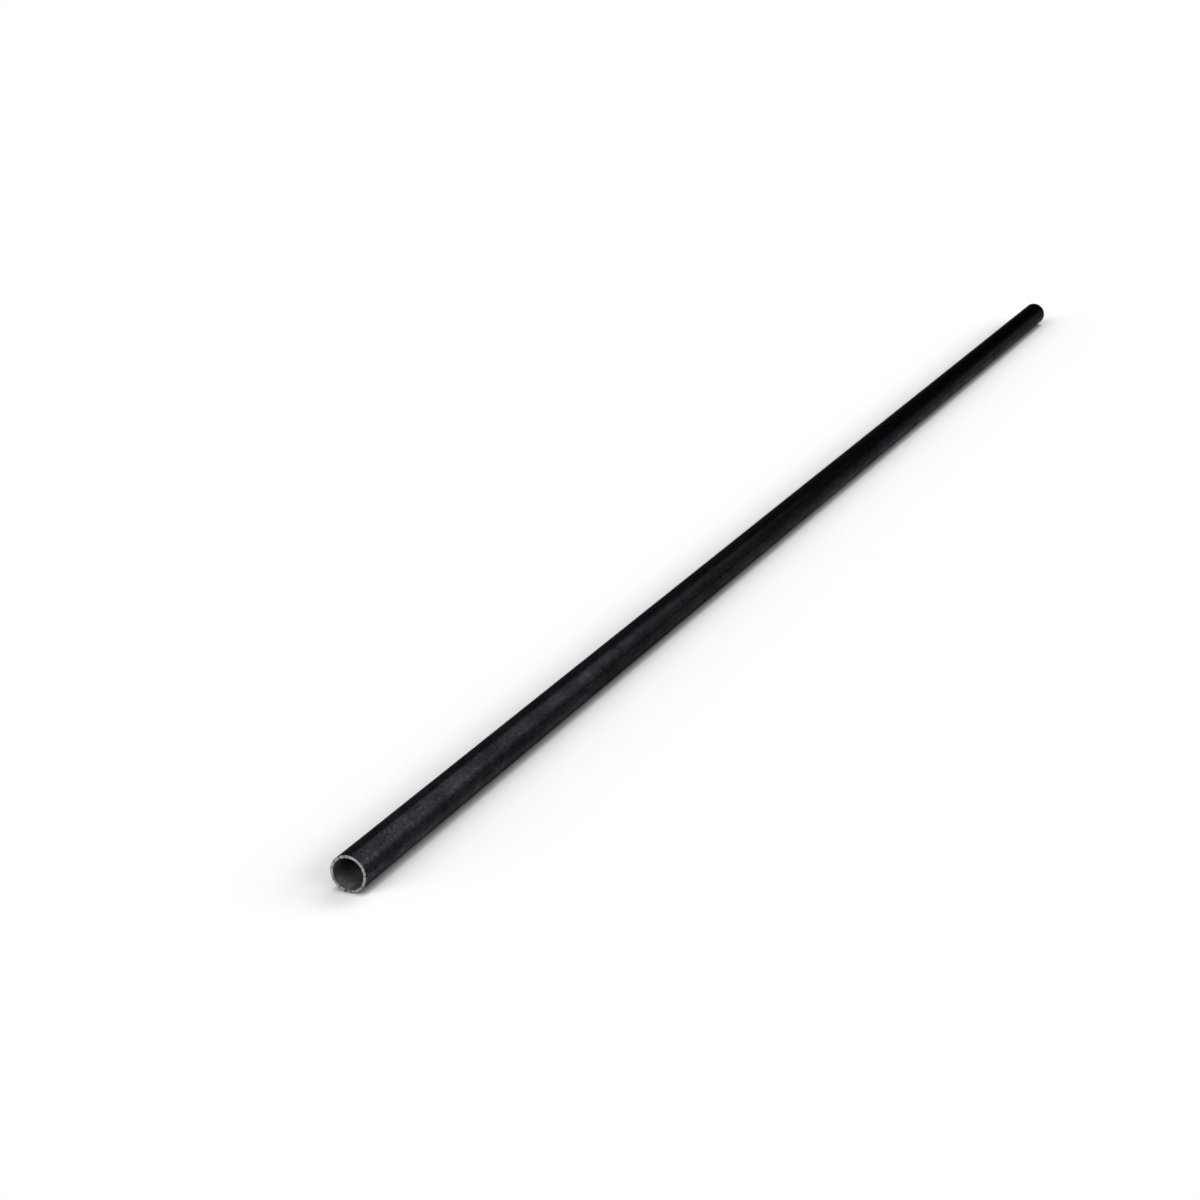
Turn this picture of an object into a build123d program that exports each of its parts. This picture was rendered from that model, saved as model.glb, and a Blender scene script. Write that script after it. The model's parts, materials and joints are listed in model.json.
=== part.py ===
from build123d import *
import os

# Driving sizes of the tube, in millimetres
outside_diameter = 30.0
wall = 2.5
length = 2000.0
edge_break = 0.3  # light deburr on both rims of each sawn end

# Radii of the section
outside_radius = outside_diameter / 2
bore_radius = outside_radius - wall

# The tube lies on the floor along X, with its middle over the origin
left_end = Plane(
    origin=(-length / 2, 0, outside_radius),
    x_dir=(0, 1, 0),
    z_dir=(1, 0, 0),
)

# One length of seamless round tube: its ring section, run out from one sawn end to the other
with BuildPart() as tube:
    with BuildSketch(left_end) as section:
        Circle(radius=outside_radius)
        Circle(radius=bore_radius, mode=Mode.SUBTRACT)
    extrude(amount=length)

    # The saw's burr is taken off the outside and the bore rim of both ends
    rims = tube.edges().filter_by(GeomType.CIRCLE)
    chamfer(rims, length=edge_break)

tube.part.label = "tube"

os.makedirs("parts", exist_ok=True)
export_step(tube.part, "parts/tube.step")
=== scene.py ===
import json
import math

import bmesh
import bpy
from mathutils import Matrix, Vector, noise


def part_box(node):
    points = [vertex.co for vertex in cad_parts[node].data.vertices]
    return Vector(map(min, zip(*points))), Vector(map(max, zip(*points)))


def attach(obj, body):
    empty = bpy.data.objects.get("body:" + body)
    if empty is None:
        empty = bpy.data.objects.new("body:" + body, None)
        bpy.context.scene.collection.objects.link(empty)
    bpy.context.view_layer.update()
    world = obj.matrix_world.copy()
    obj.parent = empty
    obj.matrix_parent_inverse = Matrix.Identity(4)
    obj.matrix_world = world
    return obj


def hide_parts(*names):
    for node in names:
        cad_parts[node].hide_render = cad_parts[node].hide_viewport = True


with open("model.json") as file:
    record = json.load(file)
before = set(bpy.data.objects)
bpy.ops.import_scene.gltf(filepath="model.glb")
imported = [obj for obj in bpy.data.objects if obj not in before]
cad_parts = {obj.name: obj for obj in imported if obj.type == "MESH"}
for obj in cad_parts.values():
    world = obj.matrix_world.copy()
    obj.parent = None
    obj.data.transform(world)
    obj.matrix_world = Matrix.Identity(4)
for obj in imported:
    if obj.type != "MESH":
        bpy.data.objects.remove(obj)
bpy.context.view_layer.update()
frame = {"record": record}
mounts = {mount["name"]: mount for mount in frame["record"]["mounts"]}


# Node helpers. A value that is a socket is linked, any other value is set.
def addNode(tree, kind, place, inputs=None, **settings):
    node = tree.nodes.new(kind)
    node.location = place
    for name, value in settings.items():
        setattr(node, name, value)
    for name, value in (inputs or {}).items():
        if isinstance(value, bpy.types.NodeSocket):
            tree.links.new(value, node.inputs[name])
        else:
            node.inputs[name].default_value = value
    return node


def newGroup(name, takes, gives):
    group = bpy.data.node_groups.new(name, "ShaderNodeTree")
    for socketName, kind, value in takes:
        socket = group.interface.new_socket(name=socketName, in_out="INPUT", socket_type=kind)
        if value is not None:
            socket.default_value = value
    for socketName, kind in gives:
        group.interface.new_socket(name=socketName, in_out="OUTPUT", socket_type=kind)
    takesNode = addNode(group, "NodeGroupInput", (-900, 0))
    givesNode = addNode(group, "NodeGroupOutput", (600, 0))
    return group, takesNode.outputs, givesNode.inputs


def useGroup(tree, group, place, inputs):
    return addNode(tree, "ShaderNodeGroup", place, inputs, node_tree=group).outputs


def remap(tree, value, place, fromLow, fromHigh, toLow, toHigh):
    inputs = {0: value, 1: fromLow, 2: fromHigh, 3: toLow, 4: toHigh}
    return addNode(tree, "ShaderNodeMapRange", place, inputs).outputs[0]


def sums(tree, operation, place, *values):
    inputs = dict(enumerate(values))
    return addNode(tree, "ShaderNodeMath", place, inputs, operation=operation).outputs[0]


def vectorSums(tree, operation, place, inputs):
    return addNode(tree, "ShaderNodeVectorMath", place, inputs, operation=operation).outputs


def mixColours(tree, place, factor, first, second, blendType="MIX"):
    node = addNode(
        tree, "ShaderNodeMix", place, {0: factor, 6: first, 7: second},
        data_type="RGBA", blend_type=blendType,
    )
    return node.outputs[2]


# Noises of the steel: each is 0 where it is at low or under and 1 where it is at high or over
cloudKinds = {
    "grain": {"detail": 2.0, "roughness": 0.6, "low": 0.3, "high": 0.7},
    "patches": {"detail": 4.0, "roughness": 0.55, "low": 0.3, "high": 0.7},
    "flecks": {"detail": 2.0, "roughness": 0.5, "low": 0.58, "high": 0.7},
    "strokes": {"detail": 1.0, "roughness": 0.5, "low": 0.49, "high": 0.61},
}


# One such noise, drawn out along the tube by stretch
def addClouds(tree, place, vector, pitch, stretch, kind):
    x, y = place
    looks = cloudKinds[kind]
    if isinstance(pitch, bpy.types.NodeSocket):
        density = sums(tree, "DIVIDE", (x - 400, y - 160), 1.0, pitch)
        along = sums(tree, "DIVIDE", (x - 580, y), 1.0, stretch)
    else:
        density, along = 1.0 / pitch, 1.0 / stretch
    squeeze = addNode(tree, "ShaderNodeCombineXYZ", (x - 400, y), {0: along, 1: 1.0, 2: 1.0})
    drawn = vectorSums(tree, "MULTIPLY", (x - 220, y), {0: vector, 1: squeeze.outputs[0]})[0]
    cloud = addNode(tree, "ShaderNodeTexNoise", (x - 40, y), {
        "Vector": drawn, "Scale": density, "Detail": looks["detail"], "Roughness": looks["roughness"],
    })
    return remap(tree, cloud.outputs[0], (x + 140, y), looks["low"], looks["high"], 0.0, 1.0)


# Shared effects of the steel: each is built once and placed in the materials with its own values
def makeGrainGroup():
    group, takes, gives = newGroup(
        "steelGrain",
        [
            ("Vector", "NodeSocketVector", None),
            ("Pitch", "NodeSocketFloat", 0.001),
            ("Stretch", "NodeSocketFloat", 1.0),
        ],
        [("Grain", "NodeSocketFloat")],
    )
    grain = addClouds(group, (-140, 50), takes["Vector"], takes["Pitch"], takes["Stretch"], "grain")
    group.links.new(grain, gives["Grain"])
    return group


def makePatchGroup():
    group, takes, gives = newGroup(
        "scalePatches",
        [
            ("Vector", "NodeSocketVector", None),
            ("Size", "NodeSocketFloat", 0.03),
            ("Stretch", "NodeSocketFloat", 2.0),
        ],
        [("Patches", "NodeSocketFloat"), ("Specks", "NodeSocketFloat")],
    )
    patches = addClouds(
        group, (-140, 200), takes["Vector"], takes["Size"], takes["Stretch"], "patches",
    )
    speckSize = sums(group, "DIVIDE", (-700, -300), takes["Size"], 9.0)  # nine specks to a patch
    specks = addClouds(group, (-140, -300), takes["Vector"], speckSize, 1.0, "flecks")
    group.links.new(patches, gives["Patches"])
    group.links.new(specks, gives["Specks"])
    return group


# Short dark strokes across the ring of wall, as a saw leaves them
def makeSawMarkGroup():
    group, takes, gives = newGroup(
        "sawMarks",
        [
            ("Vector", "NodeSocketVector", None),
            ("Axis Height", "NodeSocketFloat", 0.015),
            ("Ring Radius", "NodeSocketFloat", 0.014),
            ("Pitch", "NodeSocketFloat", 0.002),
        ],
        [("Marks", "NodeSocketFloat")],
    )
    parts = addNode(group, "ShaderNodeSeparateXYZ", (-760, 100), {0: takes["Vector"]}).outputs
    rise = sums(group, "SUBTRACT", (-600, 0), parts[2], takes["Axis Height"])
    spoke = addNode(group, "ShaderNodeCombineXYZ", (-440, 60), {1: parts[1], 2: rise}).outputs[0]
    radius = vectorSums(group, "LENGTH", (-280, -60), {0: spoke})["Value"]
    around = vectorSums(group, "NORMALIZE", (-280, 100), {0: spoke})[0]
    turns = sums(group, "DIVIDE", (-440, 240), takes["Ring Radius"], takes["Pitch"])
    placed = vectorSums(group, "SCALE", (-120, 100), {0: around, "Scale": turns})[0]
    outwards = sums(group, "DIVIDE", (-120, -100), radius, takes["Pitch"])
    slow = sums(group, "MULTIPLY", (20, -100), outwards, 0.3)  # a stroke is longer than it is wide
    side = sums(group, "SIGN", (-600, 260), parts[0])  # the two ends differ
    shift = addNode(group, "ShaderNodeCombineXYZ", (20, -240), {0: slow, 1: side, 2: side}).outputs[0]
    strokes = vectorSums(group, "ADD", (60, 60), {0: placed, 1: shift})[0]
    marks = addClouds(group, (420, 60), strokes, 1.0, 1.0, "strokes")
    group.links.new(marks, gives["Marks"])
    return group


steelGrain = makeGrainGroup()
scalePatches = makePatchGroup()
sawMarks = makeSawMarkGroup()
print("shared steel effects made")


# The tube, from the sizes that the frame gives
tubeLow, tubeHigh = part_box("tube")
tubeLength = tubeHigh.x - tubeLow.x
straightLength = mounts["bore"]["dims"]["length_mm"] / 1000  # between the deburred rims
steelTube = {
    "shape": {
        "skinRadius": mounts["outside"]["dims"]["r_mm"] / 1000,
        "boreRadius": mounts["bore"]["dims"]["r_mm"] / 1000,
        "axisHeight": mounts["bore"]["pos_m"][2],
        "length": tubeLength,
        "edgeBreak": (tubeLength - straightLength) / 2,
        "facesRound": 192,
        "skinRings": 252,  # faces along the outside, a multiple of the map's skinStrips
        "boreRings": 64,
        "wallRings": 8,  # faces across each sawn end
        "rimSteps": 3,
        "endTolerance": 0.000006,  # a face this close to the end is part of the sawn wall
    },
    "relief": {
        "skinWave": 0.00005,  # how far the hot-rolled skin sinks between its high spots
        "skinWaveLength": 0.06,
        "sawDepth": 0.00003,  # depth of the saw's grooves and pits in the end faces
        "grooveShare": 0.35,  # the part of it that the grooves have
        "groovePitch": 0.0022,
        "grooveWay": (0, 0.34, 0.94),  # the grooves lie across this direction
        "grooveDrift": 2.1,  # how far they wander, in radians of their pitch
        "driftDensity": 260.0,
        "pitLevel": 0.15,  # a pit is where the noise is over this
        "pitDensity": 900.0,
    },
    "map": {
        "skinStrips": 4,  # the outside is laid out in this many lengths, one above the other
        "boreStrips": 2,
        "gap": 0.004,  # between the rows, and round the map
        "endShare": 0.024,  # height of an unrolled end in the map
    },
    "skin": {
        "scaleDark": (0.0070, 0.0073, 0.0083, 1),  # blue-black mill scale, by patch
        "scalePale": (0.0151, 0.0157, 0.0179, 1),
        "patchSize": 0.022,
        "patchDrawn": 1.6,  # the patches are this many times longer along the tube
        "roughness": (0.2, 0.15),
        "grainPitch": 0.0011,
        "grainTone": (0.15, 1.85),
        "grainDepth": 0.000015,
        "grainStrength": 0.8,
        "mottlePitch": 0.0045,
        "mottleTone": (0.75, 1.25),
        "grainDrawn": 1.3,  # the grain and mottle are this many times longer along the tube
        "fleckSize": 0.0016,
        "fleckTone": 0.8,  # how much lighter the scattered flecks are
        "linePitch": 0.0016,  # fine lines that the rolls drew along the skin
        "lineDrawn": 40.0,
        "lineRoughness": 0.02,
        "lineRelief": 0.35,
        "paintedFloorLightLift": (2.2, 7.2),  # painted light: the scale is painted lighter towards the side that lies on the floor, where the floor's light falls on the lower flank
        "paintedFloorLightLow": 0.0045,
        "paintedFloorLightHigh": 0.0175,
        "paintedLightDullPlace": -0.42,  # the painted light is least at this place along the tube
        "paintedLightDullReach": 0.62,
    },
    # What the skin's tint takes away where it turns from the eye, so that its shine stays level
    "edgeHold": {
        "start": 0.12244,
        "slope": -0.257,
        "share": 1.008,
        "least": 0.01,
        "from": 0.7,
        "rise": 3.0,
        "paintedShadeUpperLow": 0.015,  # painted shade: the upper edge's reflection is held down further, from this height up
        "paintedShadeUpperHigh": 0.02,
    },
    "bore": {
        "scaleDark": (0.045, 0.0465, 0.051, 1),
        "scalePale": (0.09, 0.093, 0.102, 1),
        "patchSize": 0.012,
        "patchDrawn": 5.0,
        "roughness": (0.6, 0.75),
        "grainPitch": 0.0016,
        "grainDrawn": 3.0,
        "grainTone": (0.6, 1.4),
        "grainDepth": 0.00003,
        "grainStrength": 0.6,
        "paintedLitStreakTone": (1.35, 0.42),  # painted light: a paler streak is painted low along the bore on its lit side, and the bore is painted darker past it
        "paintedLitStreakLean": 30,  # degrees from the bottom towards +Y
        "paintedLitStreakDepth": 0.004,
        "paintedMouthLightDepth": 0.016,  # painted light: how far in from each end the bore is painted lighter; further in it is painted darker, as shade
        "paintedMouthLightTone": (0.75, 1.6),
        "paintedMouthLightBreakup": 0.2,
        "paintedMouthLightEdge": (0.4, 1.1),
    },
    "sawn": {
        "dark": (0.035, 0.035, 0.038, 1),
        "pale": (0.29, 0.294, 0.306, 1),
        "patchSize": 0.012,
        "patchEdge": (0.3, 0.7),
        "markPitch": 0.0021,
        "markTone": (1.0, 0.45),  # the saw marks are weaker in patches
        "roughness": (0.5, 0.6),
        "grainPitch": 0.0009,
        "grainTone": (0.5, 1.5),
        "grainDepth": 0.00004,
        "grainStrength": 0.7,
        "rimPolish": 0.1,  # the deburred rims are smoother and darker
        "rimShade": 0.35,
    },
}


def makeTubeMesh():
    shape = steelTube["shape"]
    halfLength = shape["length"] / 2
    low = shape["axisHeight"] + shape["boreRadius"]
    high = shape["axisHeight"] + shape["skinRadius"]
    bm = bmesh.new()
    corners = [
        bm.verts.new((x, 0, z))
        for x, z in ((-halfLength, low), (-halfLength, high), (halfLength, high), (halfLength, low))
    ]
    leftWall, skin, rightWall, bore = [
        bm.edges.new((corners[k], corners[(k + 1) % 4])) for k in range(4)
    ]
    cuts = (
        (skin, shape["skinRings"]), (bore, shape["boreRings"]),
        (leftWall, shape["wallRings"]), (rightWall, shape["wallRings"]),
    )
    for edge, rings in cuts:
        bmesh.ops.subdivide_edges(bm, edges=[edge], cuts=rings - 1)
    bmesh.ops.spin(
        bm, geom=bm.verts[:] + bm.edges[:], cent=(0, 0, shape["axisHeight"]), axis=(1, 0, 0),
        angle=math.tau, steps=shape["facesRound"], use_merge=True, use_duplicate=False,
    )
    bmesh.ops.remove_doubles(bm, verts=bm.verts[:], dist=1e-7)
    bmesh.ops.recalc_face_normals(bm, faces=bm.faces[:])
    deburrRims(bm)
    return bm


# A rim is an edge between an end face and the skin or the bore
def deburrRims(bm):
    shape = steelTube["shape"]
    rims = []
    for edge in bm.edges:
        turns = [abs(face.normal.x) for face in edge.link_faces]
        if max(turns) > 0.9 and min(turns) < 0.1:
            rims.append(edge)
    bmesh.ops.bevel(
        bm, geom=rims, offset=shape["edgeBreak"], offset_type="OFFSET", segments=shape["rimSteps"],
        profile=0.5, affect="EDGES", material=-1,
    )


# Which surface a face belongs to: the material slots are in this order
surfaces = ("skin", "bore", "sawn", "rim")


def radiusOf(point):
    return math.hypot(point.y, point.z - steelTube["shape"]["axisHeight"])


def surfaceOf(face):
    shape = steelTube["shape"]
    middle = face.calc_center_median()
    toEnd = shape["length"] / 2 - abs(middle.x)
    if toEnd < shape["endTolerance"]:
        return "sawn"
    if toEnd < shape["edgeBreak"]:
        return "rim"
    wallMiddle = (shape["skinRadius"] + shape["boreRadius"]) / 2
    return "skin" if radiusOf(middle) > wallMiddle else "bore"


def sortSurfaces(bm):
    for face in bm.faces:
        face.material_index = surfaces.index(surfaceOf(face))
        face.smooth = True
    for edge in bm.edges:
        edge.smooth = len({face.material_index for face in edge.link_faces}) == 1


# The tube unrolled: lengths of skin, lengths of bore, then the two ends, in rows
def layOutMap(bm):
    uvLayer = bm.loops.layers.uv.new("OFBake")
    shape, rows = steelTube["shape"], steelTube["map"]
    wall = shape["skinRadius"] - shape["boreRadius"]
    width = 1 - 2 * rows["gap"]
    skinScale = width / (shape["length"] / rows["skinStrips"])
    boreScale = width / (shape["length"] / rows["boreStrips"])
    skinHeight = math.tau * shape["skinRadius"] * skinScale
    boreHeight = math.tau * shape["boreRadius"] * boreScale
    starts = {"skin": rows["gap"]}
    starts["bore"] = starts["skin"] + rows["skinStrips"] * (skinHeight + rows["gap"])
    starts["end"] = starts["bore"] + rows["boreStrips"] * (boreHeight + rows["gap"])
    for face in bm.faces:
        surface = surfaces[face.material_index]
        middle = face.calc_center_median()
        faceTurn = math.atan2(middle.y, middle.z - shape["axisHeight"])
        for loop in face.loops:
            point = loop.vert.co
            turn = math.atan2(point.y, point.z - shape["axisHeight"])
            if turn - faceTurn > math.pi:
                turn -= math.tau
            elif faceTurn - turn > math.pi:
                turn += math.tau
            aroundShare = turn / math.tau + 0.5
            if surface in ("skin", "bore"):
                strips = rows[surface + "Strips"]
                height = skinHeight if surface == "skin" else boreHeight
                along = (middle.x / shape["length"] + 0.5) * strips
                strip = min(strips - 1, int(along))
                u = ((point.x / shape["length"] + 0.5) * strips - strip) * width + rows["gap"]
                v = starts[surface] + strip * (height + rows["gap"]) + aroundShare * height
            else:
                inset = shape["length"] / 2 - abs(point.x)
                outer = radiusOf(middle) > shape["boreRadius"] + wall / 2
                across = radiusOf(point) - shape["boreRadius"] + (inset if outer else -inset)
                share = (across + shape["edgeBreak"]) / (wall + 2 * shape["edgeBreak"])
                row = 0 if middle.x < 0 else 1
                u = rows["gap"] + aroundShare * width
                v = starts["end"] + row * (rows["endShare"] + rows["gap"]) + share * rows["endShare"]
            loop[uvLayer].uv = (u, v)
    top = starts["end"] + 2 * rows["endShare"] + rows["gap"]
    print(f"map rows fill {top:.3f} of the height")


# Real relief: the slow waves of hot-rolled skin and the saw's grooves, always inwards
def addRelief(bm):
    relief = steelTube["relief"]
    axisHeight = steelTube["shape"]["axisHeight"]
    grooveWay = Vector(relief["grooveWay"])
    for vert in bm.verts:
        names = {surfaces[face.material_index] for face in vert.link_faces}
        place = vert.co.copy()
        if names == {"skin"}:
            wave = 0.5 + 0.5 * noise.noise(place / relief["skinWaveLength"])
            outward = Vector((0, place.y, place.z - axisHeight)).normalized()
            vert.co -= outward * wave * relief["skinWave"]
        elif names == {"sawn"}:
            drift = noise.noise(place * relief["driftDensity"]) * relief["grooveDrift"]
            turn = place.dot(grooveWay) / relief["groovePitch"] * math.tau + drift
            groove = 0.5 + 0.5 * math.sin(turn)
            pit = max(0.0, noise.noise(place * relief["pitDensity"]) - relief["pitLevel"])
            depth = relief["sawDepth"] * (relief["grooveShare"] * groove + pit)
            vert.co.x -= math.copysign(depth, place.x)


def steelShader(tree, colour, roughness, normal, tint=None, metallic=1.0):
    shader = addNode(
        tree, "ShaderNodeBsdfPrincipled", (500, 0),
        {"Base Color": colour, "Roughness": roughness, "Normal": normal, "Metallic": metallic},
    )
    if tint:
        tree.links.new(tint, shader.inputs["Specular Tint"])
    output = addNode(tree, "ShaderNodeOutputMaterial", (800, 0))
    tree.links.new(shader.outputs[0], output.inputs["Surface"])


def newMaterial(name):
    material = bpy.data.materials.new(name)
    material.use_nodes = True
    material.node_tree.nodes.clear()
    coordinates = addNode(material.node_tree, "ShaderNodeTexCoord", (-1300, 0))
    return material, material.node_tree, coordinates.outputs["Object"]


def addBump(tree, place, height, looks):
    return addNode(tree, "ShaderNodeBump", place, {
        "Height": height, "Distance": looks["grainDepth"], "Strength": looks["grainStrength"],
    }).outputs[0]


# Painted light: how much lighter the scale is painted low on the tube, where the floor's light would
# fall, least at the dull place along it
def addPaintedFloorLight(tree, along, height):
    looks = steelTube["skin"]
    past = sums(tree, "SUBTRACT", (-1140, -560), along, looks["paintedLightDullPlace"])
    fromDull = sums(tree, "ABSOLUTE", (-980, -560), past)
    lift = remap(tree, fromDull, (-820, -560), 0.0, looks["paintedLightDullReach"], *looks["paintedFloorLightLift"])
    return remap(
        tree, height, (-640, -600), looks["paintedFloorLightLow"], looks["paintedFloorLightHigh"], lift, 1.0,
    )


# Reflection is held level up to the edge of the view by tinting it where the surface turns away, and
# the tint paints shade over the upper edge's reflection
def edgeTint(tree, colour, normal, height):
    looks = steelTube["edgeHold"]
    weight = addNode(tree, "ShaderNodeLayerWeight", (-600, -700), {"Blend": 0.5, "Normal": normal})
    turned = weight.outputs["Facing"]
    left = sums(tree, "SUBTRACT", (-440, -760), 1.0, turned)
    both = sums(tree, "MULTIPLY", (-280, -700), turned, left)
    product = sums(tree, "MAXIMUM", (-120, -700), both, looks["least"])
    past = sums(tree, "SUBTRACT", (-440, -900), turned, looks["from"])
    grazing = sums(tree, "MAXIMUM", (-280, -900), past, 0.0)
    squared = sums(tree, "MULTIPLY", (-120, -900), grazing, grazing)
    # Painted shade: the reflection is tinted darker on the upper edge
    paintedUpperShade = remap(tree, height, (-280, -1060), looks["paintedShadeUpperLow"], looks["paintedShadeUpperHigh"], 0.0, 1.0)
    rise = sums(tree, "MULTIPLY", (-120, -1060), paintedUpperShade, looks["rise"])
    share = sums(tree, "MULTIPLY_ADD", (40, -900), squared, rise, looks["share"])
    pull = sums(tree, "DIVIDE", (40, -700), share, product)
    slope, start = (looks["slope"],) * 3, (looks["start"],) * 3
    hold = vectorSums(tree, "MULTIPLY_ADD", (40, -500), {0: colour, 1: slope, 2: start})[0]
    held = vectorSums(tree, "SCALE", (200, -700), {0: hold, "Scale": pull})[0]
    tint = vectorSums(tree, "SUBTRACT", (360, -700), {0: (1, 1, 1), 1: held})[0]
    return vectorSums(tree, "MAXIMUM", (520, -700), {0: tint, 1: (0, 0, 0)})[0]


# The noises are plain nodes here, because they reach the tint too
def makeSkinMaterial():
    material, tree, place = newMaterial("millScaleSkin")
    looks = steelTube["skin"]
    drawn = looks["grainDrawn"]
    patches = addClouds(tree, (-900, 400), place, looks["patchSize"], looks["patchDrawn"], "patches")
    flecks = addClouds(tree, (-900, 200), place, looks["fleckSize"], 1.0, "flecks")
    grain = addClouds(tree, (-900, 0), place, looks["grainPitch"], drawn, "grain")
    mottle = addClouds(tree, (-900, -200), place, looks["mottlePitch"], drawn, "grain")
    lines = addClouds(tree, (-900, -400), place, looks["linePitch"], looks["lineDrawn"], "grain")
    parts = addNode(tree, "ShaderNodeSeparateXYZ", (-1300, -600), {0: place}).outputs
    paintedFloorLight = addPaintedFloorLight(tree, parts[0], parts[2])
    scale = mixColours(tree, (-480, 400), patches, looks["scaleDark"], looks["scalePale"])
    grainTone = remap(tree, grain, (-620, 0), 0.0, 1.0, *looks["grainTone"])
    mottleTone = remap(tree, mottle, (-620, -200), 0.0, 1.0, *looks["mottleTone"])
    flecked = sums(tree, "MULTIPLY_ADD", (-460, 100), flecks, looks["fleckTone"], grainTone)
    speckled = sums(tree, "MULTIPLY", (-300, 0), flecked, mottleTone)
    # Painted light: the tone also carries the floor's light painted on the lower flank
    tone = sums(tree, "MULTIPLY", (-140, 0), speckled, paintedFloorLight)
    surfaceColour = mixColours(tree, (20, 250), 1.0, scale, tone, "MULTIPLY")
    lineRoughness = looks["lineRoughness"]
    roughLines = remap(tree, lines, (-300, -400), 0.0, 1.0, -lineRoughness, lineRoughness)
    roughPatches = remap(tree, patches, (-300, 160), 0.0, 1.0, *looks["roughness"])
    roughness = sums(tree, "ADD", (20, 60), roughPatches, roughLines)
    relief = sums(tree, "MULTIPLY_ADD", (-140, -260), lines, looks["lineRelief"], grain)
    bump = addBump(tree, (20, -260), relief, looks)
    tint = edgeTint(tree, surfaceColour, bump, parts[2])
    steelShader(tree, surfaceColour, roughness, bump, tint)
    return material


# Mask of the painted light in the bore: 1 at the mouth of a sawn end, 0 further in, with a broken
# border
def addPaintedMouthLight(tree, along, patches):
    looks = steelTube["bore"]
    fromMiddle = sums(tree, "ABSOLUTE", (-1120, -250), along)
    fromEnd = sums(tree, "SUBTRACT", (-980, -250), steelTube["shape"]["length"] / 2, fromMiddle)
    share = sums(tree, "DIVIDE", (-840, -250), fromEnd, looks["paintedMouthLightDepth"])
    broken = sums(tree, "MULTIPLY_ADD", (-700, -250), patches, looks["paintedMouthLightBreakup"], share)
    return remap(tree, broken, (-560, -250), *looks["paintedMouthLightEdge"], 1.0, 0.0)


# Painted light in the bore: palest along the middle of the painted streak, painted dark past its
# depth
def addPaintedLitStreak(tree, place):
    shape, looks = steelTube["shape"], steelTube["bore"]
    lean = math.radians(looks["paintedLitStreakLean"])
    way = (0, math.sin(lean), -math.cos(lean))
    down = vectorSums(tree, "DOT_PRODUCT", (-1000, -500), {0: place, 1: way})["Value"]
    lowest = shape["boreRadius"] - math.cos(lean) * shape["axisHeight"]
    highest = lowest - looks["paintedLitStreakDepth"]
    return remap(tree, down, (-780, -500), lowest, highest, *looks["paintedLitStreakTone"])


def makeBoreMaterial():
    material, tree, place = newMaterial("boreScale")
    looks = steelTube["bore"]
    patches = useGroup(tree, scalePatches, (-1000, 300), {
        "Vector": place, "Size": looks["patchSize"], "Stretch": looks["patchDrawn"],
    })["Patches"]
    grain = useGroup(tree, steelGrain, (-1000, 0), {
        "Vector": place, "Pitch": looks["grainPitch"], "Stretch": looks["grainDrawn"],
    })["Grain"]
    along = addNode(tree, "ShaderNodeSeparateXYZ", (-1260, -250), {0: place}).outputs[0]
    paintedMouthLight = addPaintedMouthLight(tree, along, patches)
    # Painted light near the mouths and painted shade further into the bore
    paintedMouthLightTone = remap(tree, paintedMouthLight, (-420, -250), 0.0, 1.0, *looks["paintedMouthLightTone"])
    scale = mixColours(tree, (-600, 300), patches, looks["scaleDark"], looks["scalePale"])
    grainTone = remap(tree, grain, (-700, 60), 0.0, 1.0, *looks["grainTone"])
    # Painted light and shade of the bore: the lit mouths and the lit streak
    paintedBoreLight = sums(tree, "MULTIPLY", (-280, -300), paintedMouthLightTone, addPaintedLitStreak(tree, place))
    tone = sums(tree, "MULTIPLY", (-140, 60), paintedBoreLight, grainTone)
    surfaceColour = mixColours(tree, (0, 250), 1.0, scale, tone, "MULTIPLY")
    roughness = remap(tree, grain, (-600, 0), 0.0, 1.0, *looks["roughness"])
    bump = addBump(tree, (200, -260), grain, looks)
    steelShader(tree, surfaceColour, roughness, bump, metallic=0.0)
    return material


def makeSawnMaterial(name, polish, shade):
    material, tree, place = newMaterial(name)
    shape, looks = steelTube["shape"], steelTube["sawn"]
    patches = useGroup(tree, scalePatches, (-1000, 300), {
        "Vector": place, "Size": looks["patchSize"], "Stretch": 1.0,
    })
    marks = useGroup(tree, sawMarks, (-1000, -200), {
        "Vector": place, "Axis Height": shape["axisHeight"],
        "Ring Radius": (shape["skinRadius"] + shape["boreRadius"]) / 2, "Pitch": looks["markPitch"],
    })["Marks"]
    grain = useGroup(tree, steelGrain, (-1000, 0), {
        "Vector": place, "Pitch": looks["grainPitch"], "Stretch": 1.0,
    })["Grain"]
    markTone = remap(tree, patches["Patches"], (-780, 180), *looks["patchEdge"], *looks["markTone"])
    marked = sums(tree, "MULTIPLY", (-660, 0), marks, markTone)
    dark = sums(tree, "MAXIMUM", (-540, 160), marked, patches["Specks"])
    colour = mixColours(tree, (-380, 300), dark, looks["pale"], looks["dark"])
    toneLow, toneHigh = (tone * shade for tone in looks["grainTone"])
    grainTone = remap(tree, grain, (-540, 0), 0.0, 1.0, toneLow, toneHigh)
    surfaceColour = mixColours(tree, (-200, 250), 1.0, colour, grainTone, "MULTIPLY")
    roughLow, roughHigh = (rough - polish for rough in looks["roughness"])
    roughness = remap(tree, grain, (-400, -60), 0.0, 1.0, roughLow, roughHigh)
    relief = sums(tree, "SUBTRACT", (-200, -260), grain, marks)
    bump = addBump(tree, (200, -260), relief, looks)
    steelShader(tree, surfaceColour, roughness, bump)
    return material


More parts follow.
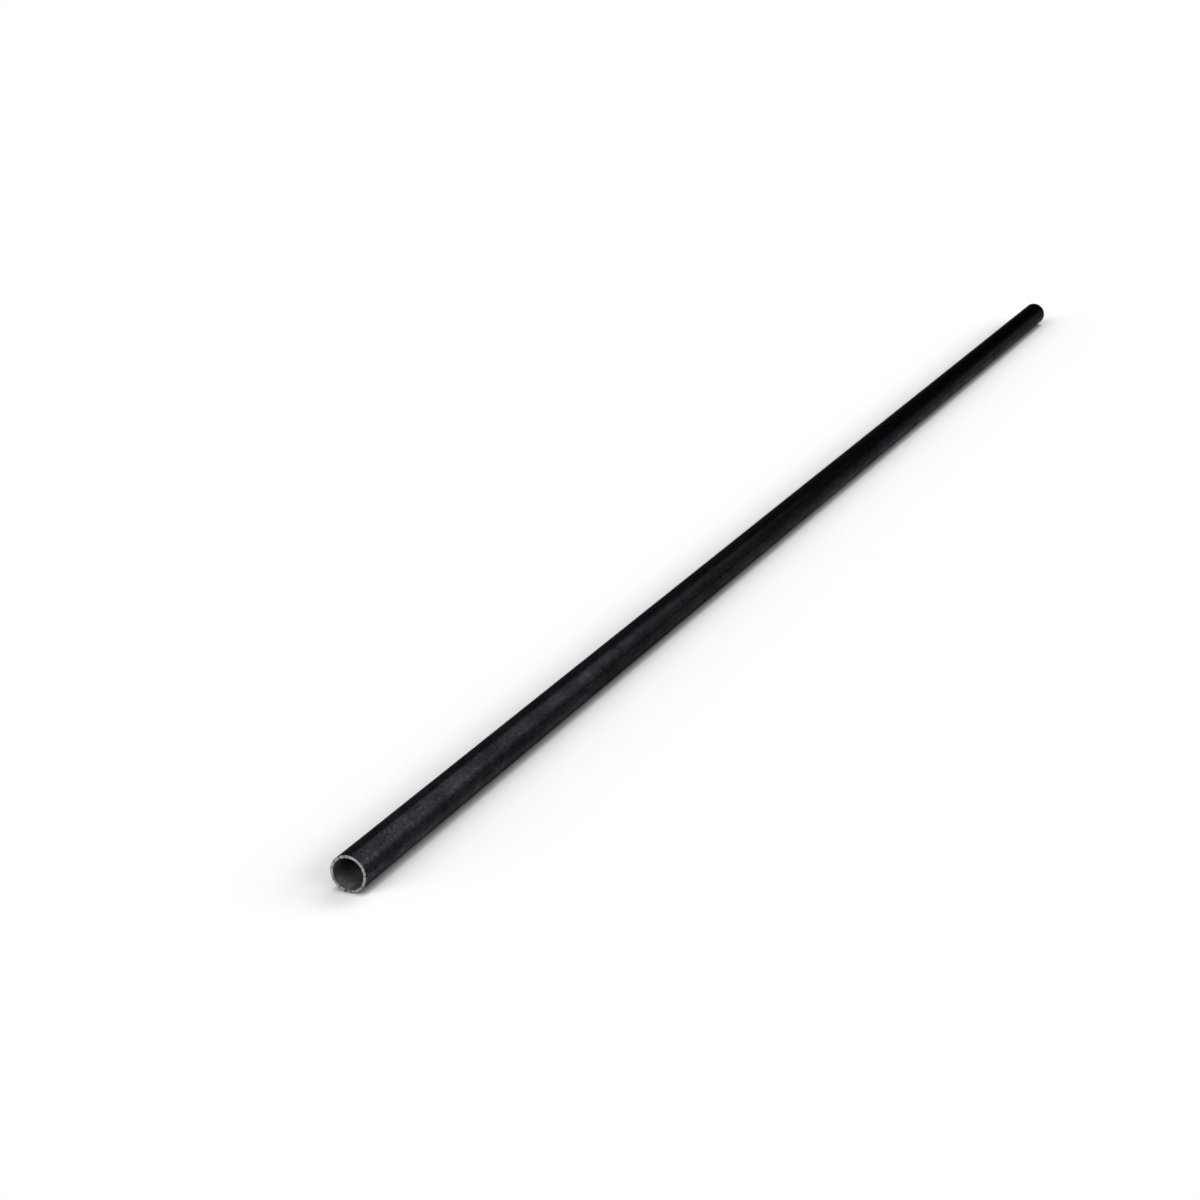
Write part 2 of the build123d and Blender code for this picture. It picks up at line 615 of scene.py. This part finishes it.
def makeTube():
    bm = makeTubeMesh()
    sortSurfaces(bm)
    layOutMap(bm)
    addRelief(bm)
    mesh = bpy.data.meshes.new("steelTube")
    bm.to_mesh(mesh)
    bm.free()
    tube = bpy.data.objects.new("steelTube", mesh)
    bpy.context.scene.collection.objects.link(tube)
    looks = steelTube["sawn"]
    for material in (
        makeSkinMaterial(), makeBoreMaterial(), makeSawnMaterial("sawnWall", 0.0, 1.0),
        makeSawnMaterial("deburredRim", looks["rimPolish"], looks["rimShade"]),
    ):
        mesh.materials.append(material)
    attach(tube, "root")
    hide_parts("tube")
    print(f"steel tube made, {len(mesh.polygons)} faces")


makeTube()


# Pale studio floor, white to the horizon, which keeps the tube's soft shadow
floorLooks = {
    "halfSide": 200.0,
    "albedo": 0.98,
    "fill": 0.03,  # light that the floor adds near the tube, so that it is white where unshaded
    "contactReach": 0.0065,  # the shadow deepens where the tube is this close
    "contactSamples": 12,
    "shadowNear": 0.18,  # the shadow is kept whole this far from the tube
    "shadowFar": 0.4,  # and past this the floor is plain white
}


# 1 for rays that end in the view, direct or mirrored: only they get the floor's own light
def seenRays(tree, place):
    x, y = place
    rays = addNode(tree, "ShaderNodeLightPath", place).outputs
    direct = sums(tree, "MAXIMUM", (x + 200, y), rays["Is Camera Ray"], rays["Is Glossy Ray"])
    return sums(tree, "MAXIMUM", (x + 400, y), direct, rays["Is Transmission Ray"])


# How far a place on the floor is from the line that the tube lies along
def tubeDistance(tree, place):
    parts = addNode(tree, "ShaderNodeSeparateXYZ", (-1100, 0), {0: place}).outputs
    along = sums(tree, "ABSOLUTE", (-920, 100), parts[0])
    past = sums(tree, "SUBTRACT", (-740, 100), along, steelTube["shape"]["length"] / 2)
    beyond = sums(tree, "MAXIMUM", (-560, 100), past, 0.0)
    aside = sums(tree, "ABSOLUTE", (-560, -60), parts[1])
    flat = addNode(tree, "ShaderNodeCombineXYZ", (-380, 40), {0: beyond, 1: aside}).outputs[0]
    return vectorSums(tree, "LENGTH", (-200, 40), {0: flat})["Value"]


def makeFloorMaterial():
    material, tree, place = newMaterial("paleFloor")
    looks = floorLooks
    seen = seenRays(tree, (-1100, 500))
    distance = tubeDistance(tree, place)
    far = remap(tree, distance, (0, 40), looks["shadowNear"], looks["shadowFar"], 0.0, 1.0)
    # Painted shade: the floor's colour is darkened by ambient occlusion where the tube is close
    contact = addNode(
        tree, "ShaderNodeAmbientOcclusion", (-200, -160),
        {"Color": (looks["albedo"],) * 3 + (1,), "Distance": looks["contactReach"]},
        samples=looks["contactSamples"],
    )
    matt = addNode(tree, "ShaderNodeBsdfDiffuse", (0, -160), {"Color": contact.outputs["Color"]})
    fillStrength = sums(tree, "MULTIPLY", (0, 300), seen, looks["fill"])
    fill = addNode(tree, "ShaderNodeEmission", (200, 300), {"Strength": fillStrength})
    lit = addNode(tree, "ShaderNodeAddShader", (400, 0), {0: matt.outputs[0], 1: fill.outputs[0]})
    white = addNode(tree, "ShaderNodeEmission", (400, -200))
    plain = sums(tree, "MULTIPLY", (400, 200), seen, far)
    mixed = addNode(
        tree, "ShaderNodeMixShader", (620, 0), {0: plain, 1: lit.outputs[0], 2: white.outputs[0]},
    )
    output = addNode(tree, "ShaderNodeOutputMaterial", (820, 0))
    tree.links.new(mixed.outputs[0], output.inputs["Surface"])
    return material


def makeFloor():
    bm = bmesh.new()
    bmesh.ops.create_grid(bm, x_segments=1, y_segments=1, size=floorLooks["halfSide"])
    mesh = bpy.data.meshes.new("studioFloor")
    bm.to_mesh(mesh)
    bm.free()
    floor = bpy.data.objects.new("studioFloor", mesh)
    bpy.context.scene.collection.objects.link(floor)
    mesh.materials.append(makeFloorMaterial())
    print("floor laid")


makeFloor()


# Soft studio light: softboxes far away, each a soft-edged window in the room's surround.
# A window stands one unit away, across its heading in degrees; the ceiling's lies one unit above.
# Centre, half and soft are across the window and up it; soft is the width of its faded edge.
softboxes = {
    "key": {
        "heading": -85.2, "centre": (-0.247, 0.604), "half": (1.216, 0.199),
        "soft": (2.265, 0.323), "radiance": 4.33,
    },
    "back": {
        "heading": 174.4, "centre": (-0.226, 0.664), "half": (0.581, 0.522),
        "soft": (0.1, 0.1), "radiance": 4.81,
    },
    "ceiling": {
        "heading": 32.3, "centre": (0.983, -1.203), "half": (0.471, 1.085),
        "soft": (0.216, 0.096), "radiance": 2.98,
    },
    "far": {
        "heading": 13.1, "centre": (0.577, 0.404), "half": (0.358, 0.419),
        "soft": (0.696, 0.052), "radiance": 0.86,
    },
    "right": {
        "heading": -34.6, "centre": (-0.397, 0.225), "half": (0.345, 0.217),
        "soft": (0.504, 0.339), "radiance": 2.82,
    },
    "lowStrip": {
        "heading": -17.1, "centre": (0.092, 0.016), "half": (0.203, 0.088),
        "soft": (0.072, 0.163), "radiance": 0.94,
    },
    "lowWall": {
        "heading": 135, "centre": (0.0, 0.15), "half": (1.85, 0.27),
        "soft": (0.2, 0.1), "radiance": 1.0,
    },
}
roomDim = 0.035  # light of the room between the windows


# The light of one window: where a direction meets its plane, and whether that is inside it
def makeSoftboxGroup():
    vector = "NodeSocketVector"
    group, takes, gives = newGroup(
        "softbox",
        [
            ("Direction", vector, None), ("Facing", vector, None), ("Across", vector, None),
            ("Rise", vector, None), ("Centre", vector, None), ("Inner", vector, None),
            ("Outer", vector, None), ("Radiance", "NodeSocketFloat", 1.0),
        ],
        [("Light", "NodeSocketFloat")],
    )

    def share(name, place):
        inputs = {0: takes["Direction"], 1: takes[name]}
        return vectorSums(group, "DOT_PRODUCT", place, inputs)["Value"]

    ahead = share("Facing", (-700, 200))
    reach = sums(group, "MAXIMUM", (-500, 200), ahead, 0.0001)  # never divides by nothing
    across = sums(group, "DIVIDE", (-300, 0), share("Across", (-700, 0)), reach)
    rise = sums(group, "DIVIDE", (-300, -200), share("Rise", (-700, -200)), reach)
    point = addNode(group, "ShaderNodeCombineXYZ", (-140, 0), {0: across, 1: rise}).outputs[0]
    offset = vectorSums(group, "SUBTRACT", (20, 0), {0: point, 1: takes["Centre"]})[0]
    apart = vectorSums(group, "ABSOLUTE", (180, 0), {0: offset})[0]
    inside = addNode(
        group, "ShaderNodeMapRange", (340, 0),
        {"Vector": apart, 7: takes["Outer"], 8: takes["Inner"], 9: (0, 0, 0), 10: (1, 1, 1)},
        data_type="FLOAT_VECTOR",
    )
    parts = addNode(group, "ShaderNodeSeparateXYZ", (500, 0), {0: inside.outputs["Vector"]}).outputs
    mask = sums(group, "MULTIPLY", (660, 0), parts[0], parts[1])
    inFront = sums(group, "GREATER_THAN", (660, 200), ahead, 0.001)
    seen = sums(group, "MULTIPLY", (820, 100), mask, inFront)
    light = sums(group, "MULTIPLY", (980, 100), seen, takes["Radiance"])
    group.links.new(light, gives["Light"])
    return group


def placeSoftbox(tree, group, name, place, direction):
    looks = softboxes[name]
    turn = math.radians(looks["heading"])
    ahead = (math.cos(turn), math.sin(turn), 0)
    aside = (-math.sin(turn), math.cos(turn), 0)
    above = (0, 0, 1)
    facing, across, rise = (above, ahead, aside) if name == "ceiling" else (ahead, aside, above)
    half, soft = looks["half"], looks["soft"]
    return useGroup(tree, group, place, {
        "Direction": direction, "Facing": facing, "Across": across, "Rise": rise,
        "Centre": (*looks["centre"], 0),
        "Inner": (half[0] - soft[0] / 2, half[1] - soft[1] / 2, 0),
        "Outer": (half[0] + soft[0] / 2, half[1] + soft[1] / 2, 1),
        "Radiance": looks["radiance"],
    })["Light"]


def makeRoom():
    world = bpy.data.worlds.new("studioRoom")
    world.use_nodes = True
    tree = world.node_tree
    tree.nodes.clear()
    group = makeSoftboxGroup()
    direction = addNode(tree, "ShaderNodeTexCoord", (-900, 0)).outputs["Generated"]
    strength = roomDim
    for row, name in enumerate(softboxes):
        light = placeSoftbox(tree, group, name, (-600, 600 - row * 260), direction)
        strength = sums(tree, "ADD", (-300 + row * 160, 600 - row * 200), light, strength)
    up = addNode(tree, "ShaderNodeSeparateXYZ", (-600, -1300), {0: direction}).outputs[2]
    below = sums(tree, "LESS_THAN", (-400, -1300), up, 0.0)
    strength = sums(tree, "MAXIMUM", (740, -200), strength, below)  # white past the floor's edge
    background = addNode(
        tree, "ShaderNodeBackground", (900, 0), {"Color": (1, 1, 1, 1), "Strength": strength},
    )
    output = addNode(tree, "ShaderNodeOutputWorld", (1100, 0))
    tree.links.new(background.outputs[0], output.inputs["Surface"])
    bpy.context.scene.world = world
    print(f"room made with {len(softboxes)} softboxes")


makeRoom()


# The photograph's viewpoint, from a camera fitted to both ends and the long edges
photoCamera = {
    "place": (-2.3155, -0.7877, 0.7720),
    "heading": 24.083,  # degrees from +X towards +Y
    "downward": 19.735,
    "lens": 69.986,
    "sensor": 36.0,
}


def makeCamera():
    looks = photoCamera
    camera = bpy.data.cameras.new("photoCamera")
    camera.lens = looks["lens"]
    camera.sensor_width = looks["sensor"]
    holder = bpy.data.objects.new("photoCamera", camera)
    holder.location = looks["place"]
    tilt = math.radians(90 - looks["downward"])
    holder.rotation_euler = (tilt, 0, math.radians(looks["heading"] - 90))
    bpy.context.scene.collection.objects.link(holder)
    bpy.context.scene.camera = holder
    print("camera placed")


makeCamera()
bpy.context.scene.view_settings.view_transform = "Standard"
